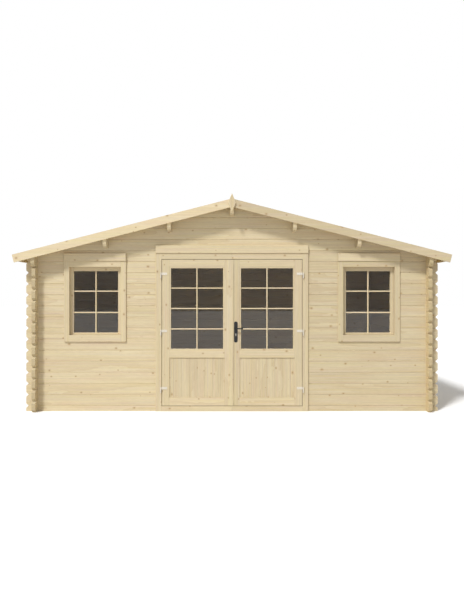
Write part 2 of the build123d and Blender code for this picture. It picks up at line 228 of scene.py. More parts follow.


# %% [markdown]
# ## The colour of the wood
# The wood starts creamy, is warmed by the late wood and turns rosy in patches. Streaks, flecks and the
# board's own lot then make it lighter or darker by a few hundredths, and shift its hue between straw and
# pink, as resin and sapwood do. Knots lie on top. A cut across the fibres soaks up more light than the face,
# and shows no round knots; where a cut is drawn lighter than the face, that is painted light. Seams between
# boards get painted shade, the shade that falls into a gap finer than a pixel.

# %% Colour of a board
late_wood = "#D7C5A0"
rosy_wood = "#D8C1A1"
knot_rim = "#B59566"
knot_core = "#8F6843"
rim_strength = 0.46
core_strength = 0.5
noise_span = {"From Min": 0.25, "From Max": 0.75}    # most of a noise's values lie in here
patch_span = {"From Min": 0.45, "From Max": 0.75, "To Min": 0.0, "To Max": 0.55}
streak_tones = {"To Min": 0.93, "To Max": 1.07}
fleck_tones = {"To Min": 0.96, "To Max": 1.04}
lot_tones = {"To Min": 0.98, "To Max": 1.02}
hue_swing = (0.0, -0.08, 0.46)
hue_start = (1.0, 1.04, 0.77)
seam_shade_tone = 0.66


def bare_colour(group, given, place, chance, late):
    """The colour of wood without a knot."""
    warm = add_node(group, "Mix", {"Factor": late, "A": linear(early_wood), "B": linear(late_wood)},
                    data_type="RGBA")
    patches = noise_along(group, place, patch_length, patch_width, 2.0)
    patch = add_node(group, "MapRange", {"Value": patches.outputs[0], **patch_span})
    rosy = add_node(group, "Mix",
                    {"Factor": patch.outputs[0], "A": warm.outputs["Result"], "B": linear(rosy_wood)},
                    data_type="RGBA")
    streaks = noise_along(group, place, streak_length, streak_width, 3.0)
    flecks = noise_along(group, place, fleck_length, streak_width, 2.0)
    streak = add_node(group, "MapRange", {"Value": streaks.outputs[0], **noise_span, **streak_tones})
    fleck = add_node(group, "MapRange", {"Value": flecks.outputs[0], **noise_span, **fleck_tones})
    lot = add_node(group, "MapRange", {"Value": chance.outputs["Value"], **lot_tones})
    tone = add_node(group, "Math", {0: streak.outputs[0], 1: given["Tone"]}, operation="MULTIPLY")
    for part in (fleck, lot):
        tone = add_node(group, "Math", {0: tone.outputs[0], 1: part.outputs[0]}, operation="MULTIPLY")
    hue = add_node(group, "VectorMath", {0: streaks.outputs["Color"], 1: hue_swing, 2: hue_start},
                   operation="MULTIPLY_ADD")
    hued = add_node(group, "VectorMath", {0: rosy.outputs["Result"], 1: hue.outputs[0]},
                    operation="MULTIPLY")
    tinted = add_node(group, "VectorMath", {0: hued.outputs[0], 1: given["Tint"]}, operation="MULTIPLY")
    bare = add_node(group, "VectorMath", {0: tinted.outputs[0], "Scale": tone.outputs[0]},
                    operation="SCALE")
    return bare.outputs[0]


def knotted_colour(group, given, colour, core, rim):
    """The colour with knots on faces along the fibres, darker or lighter cuts, and painted shade in the
    seams.
    """
    face = add_node(group, "Math", {0: 1.0, 1: given["End Grain"]}, operation="SUBTRACT").outputs[0]
    for amount, strength, knot_colour in ((rim, rim_strength, knot_rim), (core, core_strength, knot_core)):
        amount = add_node(group, "Math", {0: amount, 1: face}, operation="MULTIPLY")
        amount = add_node(group, "Math", {0: amount.outputs[0], 1: strength}, operation="MULTIPLY")
        colour = add_node(group, "Mix",
                          {"Factor": amount.outputs[0], "A": colour, "B": linear(knot_colour)},
                          data_type="RGBA").outputs["Result"]
    cut = add_node(group, "MapRange",
                   {"Value": given["End Grain"], "To Min": 1.0, "To Max": given["End Tone"]})
    # Seams are darkened as painted shade: the shade that falls into a gap too fine to model
    seam = add_node(group, "MapRange", {"Value": given["Seam"], "To Min": 1.0, "To Max": seam_shade_tone})
    dim = add_node(group, "Math", {0: cut.outputs[0], 1: seam.outputs[0]}, operation="MULTIPLY")
    return add_node(group, "VectorMath", {0: colour, "Scale": dim.outputs[0]}, operation="SCALE")


# %% [markdown]
# ## The parts in one group
# A node group is a material's function: its sockets are the arguments and results, and each wood material
# below calls it once. A change in here changes every board of the cabin at the same time.

# %% The spruce group
early_rough, late_rough = 0.66, 0.54
late_height = 0.6
group_sockets = {
    "NodeSocketVector": ("Place", "Knot Cell"),
    "NodeSocketFloat": ("Board", "Tone", "End Grain", "End Tone", "Seam"),
    "NodeSocketColor": ("Tint",),
}


def make_spruce_group():
    """The group of one board of spruce, with its colour, its roughness and the height of its grain."""
    group = bpy.data.node_groups.new("Spruce", "ShaderNodeTree")
    for kind, names in group_sockets.items():
        for name in names:
            group.interface.new_socket(name, in_out="INPUT", socket_type=kind)
    group.interface.new_socket("Color", in_out="OUTPUT", socket_type="NodeSocketColor")
    group.interface.new_socket("Roughness", in_out="OUTPUT", socket_type="NodeSocketFloat")
    group.interface.new_socket("Height", in_out="OUTPUT", socket_type="NodeSocketFloat")
    given = group.nodes.new("NodeGroupInput").outputs

    place, chance = place_in_tree(group, given)
    core, rim = scatter_knots(group, given, chance)
    late = grow_rings(group, place, rim)
    colour = bare_colour(group, given, place, chance, late)
    colour = knotted_colour(group, given, colour, core, rim)

    # Late wood is harder, so the plane leaves it smoother and a little proud of the early wood
    rough = add_node(group, "MapRange", {"Value": late, "To Min": early_rough, "To Max": late_rough})
    fibres = noise_along(group, place, fibre_length, fibre_width, 1.0)
    raised = add_node(group, "Math", {0: late, 1: late_height, 2: fibres.outputs[0]},
                      operation="MULTIPLY_ADD")
    results = group.nodes.new("NodeGroupOutput").inputs
    for name, node in (("Color", colour), ("Roughness", rough), ("Height", raised)):
        group.links.new(node.outputs[0], results[name])
    return group


spruce_group = make_spruce_group()
print("spruce group has", len(spruce_group.nodes), "nodes")

# %% [markdown]
# ## One spruce, many boards
# A wall is many logs and a floor many boards, but the group above only knows one board. So each material
# first works out which board a point is on. For a wall that is the course: its height divided by the
# log's height, rounded down. That number picks the board's place in the tree and its own tone, and what is
# left over says how near the point is to a joint.

# %% Boards of one width
joint_width = 0.0022
joint_edge = (0.7, 0.3)            # where a joint's shade starts and is full, in joint widths


def count_boards(tree, axis, order, place, courses, pitch, start, seed, seam_shade_depth):
    """Splits a surface into boards: the point on its own board, the board's number and the joints' shade."""
    steps = add_node(tree, "Math", {0: axis[courses], 1: start}, operation="SUBTRACT")
    steps = add_node(tree, "Math", {0: steps.outputs[0], 1: pitch}, operation="DIVIDE")
    beside = add_node(tree, "Math", {0: steps.outputs[0], 1: 0.5}, operation="PINGPONG")
    seam = add_node(tree, "MapRange",
                    {"Value": beside.outputs[0], "From Min": joint_edge[0] * joint_width / pitch,
                     "From Max": joint_edge[1] * joint_width / pitch, "To Max": seam_shade_depth})
    number = add_node(tree, "Math", {0: steps.outputs[0]}, operation="FLOOR")
    board = add_node(tree, "Math", {0: number.outputs[0], 1: seed}, operation="ADD")
    middle = add_node(tree, "Math", {0: number.outputs[0], 1: pitch, 2: start + pitch / 2},
                      operation="MULTIPLY_ADD")
    back = add_node(tree, "CombineXYZ", {order.index(courses): middle.outputs[0]})
    place = add_node(tree, "VectorMath", {0: place, 1: back.outputs[0]}, operation="SUBTRACT")
    return place.outputs[0], board.outputs[0], seam.outputs[0]


# %% [markdown]
# ## Stiles and rails
# A door leaf or a window frame has upright stiles with level rails between them, and its wood runs level
# in the rails. The material finds the rails by the distance from the cabin's middle, which works for the
# left and the right side at once, and paints a fine line of shade where a rail meets a stile.

# %% Stiles, rails and beads
bead_width = 0.017
stile_edge = 0.0002
outer_seed, right_seed = 11.0, 23.0    # keep the numbers of stiles and rails on both sides apart


def rail_zones(tree, axis, place, seed, inner, outer, split, pane=None):
    """Turns the fibres level between two stiles: the place, the piece's number, its joint's painted shade and
    its rails.
    """
    side = add_node(tree, "Math", {0: axis["X"]}, operation="ABSOLUTE").outputs[0]
    past = add_node(tree, "Math", {0: side, 1: inner + stile_edge}, operation="GREATER_THAN").outputs[0]
    short = add_node(tree, "Math", {0: side, 1: outer - stile_edge}, operation="LESS_THAN").outputs[0]
    rail = add_node(tree, "Math", {0: past, 1: short}, operation="MULTIPLY").outputs[0]
    centre = add_node(tree, "Math", {0: side, 1: (inner + outer) / 2}, operation="SUBTRACT")
    centre = add_node(tree, "Math", {0: centre.outputs[0]}, operation="ABSOLUTE")
    # The butt joint of a rail and a stile is a thin band that gets painted shade through the Seam input
    butt = add_node(tree, "Math", {0: centre.outputs[0], 1: (outer - inner) / 2 - joint_width / 2},
                    operation="GREATER_THAN")
    butt = add_node(tree, "Math", {0: butt.outputs[0], 1: rail}, operation="MULTIPLY").outputs[0]
    if pane:
        rail = add_node(tree, "Math", {0: rail, 1: upright_beads(tree, axis, side, pane)},
                        operation="GREATER_THAN").outputs[0]
    level = add_node(tree, "CombineXYZ", {"X": axis["X"], "Y": axis["Z"], "Z": axis["Y"]}).outputs[0]
    turned = add_node(tree, "Mix", {"Factor": rail, 4: place, 5: level}, data_type="VECTOR").outputs[1]
    # Pieces are told apart by their side of the door, and rails also by their height
    right = add_node(tree, "Math", {0: axis["X"], 1: 0.0}, operation="GREATER_THAN").outputs[0]
    row = add_node(tree, "Math", {0: axis["Z"], 1: split}, operation="DIVIDE").outputs[0]
    row = add_node(tree, "Math", {0: row}, operation="FLOOR").outputs[0]
    row = add_node(tree, "Math", {0: row, 1: 1.0}, operation="ADD").outputs[0]
    count = add_node(tree, "Math", {0: rail, 1: row}, operation="MULTIPLY").outputs[0]
    for where, step in ((past, outer_seed), (right, right_seed)):
        count = add_node(tree, "Math", {0: where, 1: step, 2: count}, operation="MULTIPLY_ADD").outputs[0]
    number = add_node(tree, "Math", {0: count, 1: seed}, operation="ADD").outputs[0]
    return turned, number, butt, rail


def upright_beads(tree, axis, side, pane):
    """1 on the glazing beads at the sides of a pane, which stand upright like the stiles beside them."""
    left, right, bottom, top = pane
    across = add_node(tree, "Math", {0: side, 1: (left + right) / 2, 2: (right - left) / 2},
                      operation="COMPARE").outputs[0]
    along = add_node(tree, "Math",
                     {0: axis["Z"], 1: (bottom + top) / 2, 2: (top - bottom) / 2 + bead_width},
                     operation="COMPARE").outputs[0]
    return add_node(tree, "Math", {0: along, 1: across}, operation="SUBTRACT").outputs[0]


# %% [markdown]
# ## The wood material
# Planing leaves spruce satin rather than glossy: its fibres scatter most of a low light and catch a broad
# soft shine. The shader's roughness and a very small bump give the eye that. Wood's refraction index is
# about 1.5, and its open pores mirror less than a sealed surface would, so the specular level is lowered.

# %% Wood materials
grain_axes = {"X": "XZY", "Y": "YZX", "Z": "ZXY"}
cut_angles = {"From Min": 0.5, "From Max": 0.7}    # a face that looks along the fibres is a cut across
fibre_relief = 0.00022
relief_strength = 0.6
wood_ior = 1.5
wood_specular = 0.35


def spruce(name, along, pitch=0.0, start=0.0, seed=0.0, tone=1.0, knot_cell=(0.30, 0.135), rails=None,
           courses="Z", tint="#FFFFFF", end_tone=0.78, rail_tone=1.0, seam_shade_depth=1.0):
    """Planed spruce: a satin, softly banded wood whose fibres catch a low, broad light."""
    material, tree = new_material(name)
    coordinates = add_node(tree, "TexCoord").outputs
    axis = dict(zip("XYZ", add_node(tree, "SeparateXYZ", {0: coordinates["Object"]}).outputs))
    order = grain_axes[along]
    if pitch and order[1] != courses:
        # Boards that lie flat show the face that is hidden in a wall
        order = order[0] + order[2] + order[1]
    place = add_node(tree, "CombineXYZ", {i: axis[a] for i, a in enumerate(order)}).outputs[0]
    board = seam = rail = None
    if pitch:
        place, board, seam = count_boards(tree, axis, order, place, courses, pitch, start, seed, seam_shade_depth)
    if rails:
        place, board, seam, rail = rail_zones(tree, axis, place, seed, *rails)
        rail = add_node(tree, "MapRange",
                        {"Value": rail, "To Min": tone, "To Max": tone * rail_tone}).outputs[0]
    given = {"Place": place, "Knot Cell": (*knot_cell, 1.0), "Tint": linear(tint), "End Tone": end_tone,
             "Board": seed if board is None else board, "Tone": tone if rail is None else rail}
    if seam is not None:
        given["Seam"] = seam
    if not rails:
        facing = add_node(tree, "SeparateXYZ", {0: coordinates["Normal"]})
        facing = add_node(tree, "Math", {0: facing.outputs["XYZ".index(along)]}, operation="ABSOLUTE")
        given["End Grain"] = add_node(tree, "MapRange",
                                      {"Value": facing.outputs[0], **cut_angles}).outputs[0]
    wood = add_node(tree, "Group", given, node_tree=spruce_group)
    bump = add_node(tree, "Bump",
                    {"Height": wood.outputs["Height"], "Distance": fibre_relief, "Strength": relief_strength})
    shader = add_node(tree, "BsdfPrincipled",
                      {"Base Color": wood.outputs["Color"], "Roughness": wood.outputs["Roughness"],
                       "Normal": bump.outputs[0], "IOR": wood_ior, "Specular IOR Level": wood_specular})
    add_node(tree, "OutputMaterial", {"Surface": shader.outputs[0]})
    return material


def finish_with(material, *names):
    """Puts a material on CAD nodes, in place of the plain one they were packed with."""
    for name in names:
        nodes[name].data.materials.clear()
        nodes[name].data.materials.append(material)


# %% [markdown]
# ## The walls
# All the logs are 135 mm high, but the side walls' logs lie half a log higher than the front's and back's,
# because they lap at the corners. That is why only the front and back start half a log below the ground.
# Each wall has a tone of its own. The right half of the front is darker as painted shade, for less light on
# that side. The left wall's faces are darker as painted shade, for the shaded inner faces of its log ends
# at the corner. The right wall's faces are darker and a little warmer. On both side walls the cut ends keep
# about the tone they would have.

# %% Logs of the four walls
log_height = 0.135
half_log = log_height / 2
finish_with(spruce("Planed spruce log, front", "X", log_height, -half_log, seed=3.0, seam_shade_depth=0.45),
            "front_wall_left", "front_gable")
# Painted shade: the right half of the front is drawn darker, for less light on that side
finish_with(spruce("Planed spruce log, front right", "X", log_height, -half_log, seed=53.0, tone=0.895,
                   seam_shade_depth=0.55), "front_wall_right")
finish_with(spruce("Planed spruce log, back", "X", log_height, -half_log, seed=103.0),
            "back_wall", "back_gable")
# Painted shade: the left wall's faces are drawn darker, and its cut ends less dark, so that those stay as
# they were
finish_with(spruce("Planed spruce log, left", "Y", log_height, seed=153.0, tone=0.84, tint="#FFFCF4",
                   end_tone=0.93), "left_wall", "left_wall_plate")
finish_with(spruce("Planed spruce log, right", "Y", log_height, seed=203.0, tone=0.88, tint="#FFFBEF",
                   end_tone=0.88), "right_wall", "right_wall_plate")
print("logs are", round(log_height * 1000), "mm high")

# %% [markdown]
# ## Purlins, fascias and trim
# These are single boards and beams, so each takes the group as it is, with the fibres along its length.
# A material of its own, with a seed of its own, keeps neighbours from showing the same knots.

# %% Purlins, fascias and trim
purlins = ("ridge_purlin", "upper_purlin_left", "upper_purlin_right", "lower_purlin_left",
           "lower_purlin_right")
# Painted light and shade: a purlin's faces are drawn darker and its sunlit cut end lighter than the wood's
# own colour
for i, name in enumerate(purlins):
    finish_with(spruce(f"Planed spruce purlin {i}", "Y", seed=251.0 + i, tone=0.85, knot_cell=(0.4, 0.17),
                       end_tone=1.28), name)
fascia_tones = {"front_fascia_left": 1.12, "front_fascia_right": 0.89, "back_fascia_left": 1.0,
                "back_fascia_right": 1.0}
for i, (name, tone) in enumerate(fascia_tones.items()):
    finish_with(spruce(f"Planed spruce fascia {i}", "X", seed=261.0 + i, tone=tone, knot_cell=(0.3, 0.1)),
                name)
finish_with(spruce("Planed spruce point", "Z", seed=271.0, knot_cell=(0.2, 0.1)), "ridge_diamonds")
finish_with(spruce("Planed spruce eave board", "Y", seed=273.0, knot_cell=(0.35, 0.08)), "eave_boards")
finish_with(spruce("Planed spruce head board", "X", seed=275.0, knot_cell=(0.25, 0.1)),
            "door_head_board", "window_head_boards")
finish_with(spruce("Planed spruce joist", "X", seed=277.0, knot_cell=(0.4, 0.1)), "floor_joists")
print(len(purlins), "purlins and", len(fascia_tones), "fascias are finished")

# %% [markdown]
# ## Frames, casings and leaves
# Each light below is the clear width between two stiles, as distances from the cabin's middle. Each split
# is a height between the lower and the upper rails, and gives them different wood. The leaves also pass
# their clear pane, because its beads stand upright at the sides.

# %% Frames, casings and leaves
doorway_half = 0.858
leaf_light = (0.092, 0.761)
window_light = (1.354, 1.982)
sash_light = (1.396, 1.940)
door_split, leaf_split, window_split = 1.0, 0.68, 1.3
glass_rebate = 0.006
glass_low, glass_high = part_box("right_leaf_glass")
leaf_pane = (glass_low.x + glass_rebate, glass_high.x - glass_rebate,
             glass_low.z + glass_rebate, glass_high.z - glass_rebate)
finish_with(spruce("Planed spruce door frame", "Z", seed=301.0, tone=0.95, knot_cell=(0.3, 0.08),
                   rails=(0.0, doorway_half, door_split)), "door_frame", "door_casing")
for side, leaf_tone, window_tone in (("left", 0.95, 1.0), ("right", 0.92, 0.88)):
    finish_with(spruce(f"Planed spruce leaf, {side}", "Z", seed=331.0, tone=leaf_tone, knot_cell=(0.26, 0.1),
                       rails=(*leaf_light, leaf_split, leaf_pane), rail_tone=1.05), f"{side}_leaf_frame")
    finish_with(spruce(f"Planed spruce window casing, {side}", "Z", seed=361.0, tone=window_tone,
                       knot_cell=(0.3, 0.08), rails=(*window_light, window_split)),
                f"{side}_window_casing", f"{side}_window_frame")
    finish_with(spruce(f"Planed spruce sash, {side}", "Z", seed=391.0, tone=window_tone,
                       knot_cell=(0.3, 0.06), rails=(*sash_light, window_split)), f"{side}_window_sash")
print("a leaf's pane is", round((leaf_pane[1] - leaf_pane[0]) * 1000), "mm wide")

# %% [markdown]
# ## Boards with a tongue and a groove
# The roof, the floor and the lower door panels are boards pushed into each other, with a bevel along each
# edge that leaves a V at the joint. Each board is a cube stretched to its size with its long edges
# bevelled. Only the bevels show, so the tongues inside the joints are left out.

# %% Helpers for meshes
touching = 1e-6


def new_piece(name, mesh_maker, material, body, stands_for=()):
    """Makes one object from a bmesh that mesh_maker fills, and lets it ride on a CAD body."""
    mesh = bpy.data.meshes.new(name)
    bm = bmesh.new()
    mesh_maker(bm)
    bmesh.ops.recalc_face_normals(bm, faces=bm.faces)
    bm.to_mesh(mesh)
    bm.free()
    piece = bpy.data.objects.new(name, mesh)
    bpy.context.scene.collection.objects.link(piece)
    mesh.materials.append(material)
    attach(piece, body)
    if stands_for:
        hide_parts(*stands_for)
    print(name, len(mesh.polygons), "faces")


def add_board(bm, low, high, bevel, edges_along, face=None):
    """Adds a board between two corners, bevelled along one axis, on all sides or only beside one face."""
    low, high = Vector(low), Vector(high)
    made = bmesh.ops.create_cube(bm, size=1.0)["verts"]
    bmesh.ops.scale(bm, vec=high - low, verts=made)
    bmesh.ops.translate(bm, vec=(low + high) / 2, verts=made)
    axis = "XYZ".index(edges_along)
    edges = []
    for edge in {e for v in made for e in v.link_edges}:
        ends = edge.verts[0].co - edge.verts[1].co
        middle = (edge.verts[0].co + edge.verts[1].co) / 2
        if abs(ends[axis]) > touching and (face is None or abs(middle[face[0]] - face[1]) < touching):
            edges.append(edge)
    bmesh.ops.bevel(bm, geom=edges, offset=bevel, offset_type="OFFSET", segments=1, profile=0.5,
                    affect="EDGES", material=-1)


# %% [markdown]
# ## The roof
# The boards lie across the purlins, from the ridge down to the eave. It is easiest to lay them flat, side
# by side, and then to turn the whole side to the roof's pitch at once. The left side is the right one,
# mirrored.

# %% Roof boards
roof_board_cover = 0.0883
roof_thickness = 0.018
roof_bevel = 0.0035
roof_pitch = math.radians(14.3)
roof_low, roof_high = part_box("roof_right")


def roof_side(side):
    """Fills a bmesh with the boards of one side of the roof, laid from the ridge to the eave."""
    length = roof_high.x / math.cos(roof_pitch)
    count = round((roof_high.y - roof_low.y) / roof_board_cover)
    width = (roof_high.y - roof_low.y) / count

    def fill(bm):
        for i in range(count):
            start = roof_low.y + i * width
            add_board(bm, (0, start, -roof_thickness), (length, start + width, 0), roof_bevel, "X")
        # The ridge end is cut upright, so that both sides meet without a gap
        for v in bm.verts:
            if v.co.x < touching:
                v.co.x = v.co.z * math.tan(roof_pitch)
        slope = Matrix.Translation((0, 0, roof_high.z)) @ Matrix.Rotation(roof_pitch, 4, "Y")
        bmesh.ops.transform(bm, matrix=slope, verts=bm.verts)
        if side < 0:
            bmesh.ops.scale(bm, vec=(-1, 1, 1), verts=bm.verts)

    return fill


for side, name, seed in ((-1, "left", 401.0), (1, "right", 451.0)):
    wood = spruce(f"Roof board spruce {name}", "X", roof_board_cover, roof_low.y, seed,
                  knot_cell=(0.45, roof_board_cover), courses="Y")
    new_piece(f"roof_boards_{name}", roof_side(side), wood, "root", (f"roof_{name}",))

# %% [markdown]
# ## The floor
# The floor boards run from front to back over the joists. Only their upper edges are bevelled, because
# nobody sees the others.

# %% Floor boards
floor_low, floor_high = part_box("floor_boards")
floor_count = 53
floor_width = (floor_high.x - floor_low.x) / floor_count
floor_bevel = 0.002


def fill_floor(bm):
    """Fills a bmesh with the floor's boards, side by side."""
    for i in range(floor_count):
        start = floor_low.x + i * floor_width
        add_board(bm, (start, floor_low.y, floor_low.z), (start + floor_width, floor_high.y, floor_high.z),
                  floor_bevel, "Y", face=(2, floor_high.z))


floor_spruce = spruce("Floor board spruce", "Y", floor_width, floor_low.x, seed=501.0,
                      knot_cell=(0.5, 0.089), courses="X")
new_piece("floor_planks", fill_floor, floor_spruce, "root", ("floor_boards",))

# %% [markdown]
# ## The panels of the leaves
# Six whole boards and a half one on each side fill the lower part of a leaf. The outermost ones go on into
# the frame's groove, so they are wider than what shows of them.

# %% Panel boards of the leaves
panel_joints = 7
panel_bevel = 0.002


def fill_panel(name):
    """The panel's mesh maker, the width of its boards, and where the first one would start."""
    low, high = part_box(name)
    shown_low, shown_high = leaf_light if low.x > 0 else (-leaf_light[1], -leaf_light[0])
    width = (shown_high - shown_low) / panel_joints
    joints = [low.x] + [shown_low + (i + 0.5) * width for i in range(panel_joints)] + [high.x]

    def fill(bm):
        for left, right in zip(joints, joints[1:]):
            add_board(bm, (left, low.y, low.z), (right, high.y, high.z), panel_bevel, "Z")

    return fill, width, shown_low - width / 2


for body, seed in (("left_leaf", 561.0), ("right_leaf", 581.0)):
    fill, width, start = fill_panel(f"{body}_panel")
    wood = spruce(f"Panel board spruce, {body}", "Z", width, start, seed, tone=0.92, knot_cell=(0.3, 0.095),
                  courses="X", seam_shade_depth=0.5)
    new_piece(f"{body}_panel_boards", fill, wood, body, (f"{body}_panel",))

# %% [markdown]
# ## Bars over the glass
# The panes are single sheets, and thin bars stuck onto them make them look divided. The upright bar is the
# thicker one. The level bars are flat strips that end against it, so it throws a small shadow on them.
# Both kinds have their fibres along them, so they are separate pieces with separate woods.

# %% Glazing bars
leaf_bar_width = 0.0138
window_bar_width = 0.0145
window_bar_shift = 0.0028          # the windows' level bars stand this much nearer to the sash's ends
upright_depth, upright_bevel = 0.014, 0.003
level_depth, level_bevel = 0.006, 0.002
leaf_grid, window_grid = (2, 4), (2, 3)    # columns and rows of panes


def fill_bars(level, low, high, columns, rows, width, glass_face, shift=0.0):
    """The level or upright bars that divide a pane, from low to high in X and Z, into nearly equal ones."""
    def fill(bm):
        pane_width = (high[0] - low[0] - (columns - 1) * width) / columns
        pane_height = (high[1] - low[1] - (rows - 1) * width) / rows
        middles = [low[0] + i * (pane_width + width) - width / 2 for i in range(1, columns)]
        if not level:
            front = glass_face - upright_depth
            for x in middles:
                add_board(bm, (x - width / 2, front, low[1]), (x + width / 2, glass_face, high[1]),
                          upright_bevel, "Z", face=(1, front))
            return
        front = glass_face - level_depth
        heights = [low[1] + i * (pane_height + width) - width / 2 + shift * (2 * i - rows)
                   for i in range(1, rows)]
        stops = [low[0]] + [m + s * width / 2 for m in middles for s in (-1, 1)] + [high[0]]
        for z in heights:
            for left, right in zip(stops[::2], stops[1::2]):
                add_board(bm, (left, front, z - width / 2), (right, glass_face, z + width / 2),
                          level_bevel, "X", face=(1, front))

    return fill


bar_kinds = (
    ("upright", False, spruce("Upright bar spruce", "Z", seed=601.0, tone=1.05, knot_cell=(0.9, 0.3))),
    ("level", True, spruce("Level bar spruce", "X", seed=611.0, tone=1.05, knot_cell=(0.9, 0.3))),
)
pane_low, pane_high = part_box("window_glass")
window_middle = (window_light[0] + window_light[1]) / 2
window_pane_half = pane_high.x - glass_rebate - window_middle
for kind, level, wood in bar_kinds:
    for side, body in ((-1, "left_leaf"), (1, "right_leaf")):
        ends = sorted((side * leaf_pane[0], side * leaf_pane[1]))
        new_piece(f"{body}_{kind}_bars",
                  fill_bars(level, (ends[0], leaf_pane[2]), (ends[1], leaf_pane[3]), *leaf_grid,
                            leaf_bar_width, glass_low.y),
                  wood, body)
    for side, name in ((-1, "left"), (1, "right")):
        middle = side * window_middle
        new_piece(f"{name}_window_{kind}_bars",
                  fill_bars(level, (middle - window_pane_half, pane_low.z + glass_rebate),
                            (middle + window_pane_half, pane_high.z - glass_rebate), *window_grid,
                            window_bar_width, pane_low.y, window_bar_shift),
                  wood, "root")

# %% [markdown]
# ## Glass
# Float glass is clear, smooth and reflects about a twelfth of what is in front of it. From outside a room
# looks dark through it. The shader is a plain transmissive one with the glass's own refraction index.
# The panes throw no shadow of their own, because Blender would otherwise treat them as opaque to the lamps
# and the room would stay black.

# %% Glass material
glass_light, glass_dark = "#E6E5E5", "#E0DFDF"
glass_ior = 1.52
glass_waves_per_metre = 3.0
glass_wave_height = 0.0002
panes = ("window_glass", "left_leaf_glass", "right_leaf_glass")


def make_glass():
    """Float glass: smooth and clear, with a faint waviness that keeps its reflections from being perfect."""
    material, tree = new_material("Float glass")
    where = add_node(tree, "TexCoord").outputs["Object"]
    slow = add_node(tree, "TexNoise", {"Vector": where, "Scale": glass_waves_per_metre, "Detail": 1.0})
    tint = add_node(tree, "Mix",
                    {"Factor": slow.outputs[0], "A": linear(glass_light), "B": linear(glass_dark)},
                    data_type="RGBA")
    bump = add_node(tree, "Bump",
                    {"Height": slow.outputs[0], "Distance": glass_wave_height, "Strength": 0.2})
    shader = add_node(tree, "BsdfPrincipled",
                      {"Base Color": tint.outputs["Result"], "Roughness": 0.0, "IOR": glass_ior,
                       "Transmission Weight": 1.0, "Normal": bump.outputs[0]})
    add_node(tree, "OutputMaterial", {"Surface": shader.outputs[0]})
    return material


finish_with(make_glass(), *panes)
for name in panes:
    nodes[name].visible_shadow = False
print(len(panes), "nodes of glass")

# %% [markdown]
# ## Metal
# The hinges are pressed steel with a bright zinc plating, which has a fine cloudy grain. The handle is
# steel under a satin black powder coat, whose skin is very slightly dimpled. The lock cylinder in its plate
# is nickel-plated brass. One maker serves all three: a noise of the grain's real size moves the colour, the
# gloss and a tiny bump together, as it does where a skin is thicker or thinner. The clouds of zinc are a
# few millimetres wide and are drawn coarser, so that a hinge shows any.

# %% Metal materials
def make_metal(name, light, dark, metallic, rough, grain, relief):
    """A metal or painted metal whose colour and gloss vary a little over a grain of a real size."""
    material, tree = new_material(name)
    where = add_node(tree, "TexCoord").outputs["Object"]
    cloud = add_node(tree, "TexNoise", {"Vector": where, "Scale": 1 / grain, "Detail": 3.0})
    colour = add_node(tree, "Mix",
                      {"Factor": cloud.outputs[0], "A": linear(light), "B": linear(dark)}, data_type="RGBA")
    gloss = add_node(tree, "MapRange",
                     {"Value": cloud.outputs[0], "From Min": 0.3, "From Max": 0.7,
                      "To Min": rough[0], "To Max": rough[1]})
    bump = add_node(tree, "Bump", {"Height": cloud.outputs[0], "Distance": relief, "Strength": 0.3})
    shader = add_node(tree, "BsdfPrincipled",
                      {"Base Color": colour.outputs["Result"], "Roughness": gloss.outputs[0],
                       "Metallic": metallic, "Normal": bump.outputs[0]})
    add_node(tree, "OutputMaterial", {"Surface": shader.outputs[0]})
    return material


# Zinc plating mirrors broadly: the hinges look almost as white as the sky; their warm tint is a painted
# reflection of the wood
zinc = make_metal("Bright zinc plated steel", "#EEE6D8", "#C9C1B2", metallic=1.0, rough=(0.3, 0.44),
                  grain=0.012, relief=0.00002)
# A powder coat is a plastic skin: nearly black, with one soft pale highlight
black_coat = make_metal("Satin black powder coat", "#17171A", "#0F0F11", metallic=0.0, rough=(0.38, 0.5),
                        grain=0.0008, relief=0.00003)
# Nickel is greyer and yellower than zinc, and makes the keyhole stand out in the black plate
nickel = make_metal("Nickel plated brass", "#B9B4A9", "#A6A197", metallic=1.0, rough=(0.25, 0.35),
                    grain=0.002, relief=0.00001)
finish_with(zinc, "left_leaf_hinges", "right_leaf_hinges", "frame_hinges")
finish_with(black_coat, "handle_plates", "handle_lever")
print("metals:", zinc.name, "/", black_coat.name, "/", nickel.name)

# %% [markdown]
# ## Screws
# Small countersunk screws hold the hinges, three in each strap. Each head is a short cone of a few faces,
# with a sunk middle where the driver fits. They are less than a pixel wide in the picture, but they catch
# the light, and a hinge without them looks like a toy.

# %% Screws
screw_radius = 0.0038
screw_face_share = 0.72
screw_rise = 0.0008
driver_rim, driver_depth = 0.3, 0.6    # shares of the head's radius and height
strap_thickness = 0.003
strap_half_height = 0.015
strap_screws = (0.840, 0.819, 0.799)
facing_front = Matrix.Rotation(math.radians(90), 3, "X")


def add_screw(bm, x, y, z):
    """A screw head that faces -Y at one place."""
    made = bmesh.ops.create_cone(bm, cap_ends=True, segments=14, radius1=screw_radius,
                                 radius2=screw_radius * screw_face_share, depth=screw_rise)["verts"]
    bmesh.ops.rotate(bm, cent=(0, 0, 0), matrix=facing_front, verts=made)
    bmesh.ops.translate(bm, vec=(x, y - screw_rise / 2, z), verts=made)
    front = min((f for v in made for f in v.link_faces), key=lambda f: f.calc_center_median().y)
    bmesh.ops.inset_individual(bm, faces=[front], thickness=screw_radius * driver_rim,
                               depth=-screw_rise * driver_depth)


hinge_low, hinge_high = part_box("right_leaf_hinges")
strap_face = hinge_high.y - strap_thickness
strap_heights = [hinge_low.z + strap_half_height, (hinge_low.z + hinge_high.z) / 2,
                 hinge_high.z - strap_half_height]


def fill_strap_screws(side):
    """Fills a bmesh with the screws of one leaf's straps."""
    def fill(bm):
        for z in strap_heights:
            for x in strap_screws:
                add_screw(bm, side * x, strap_face, z)

    return fill


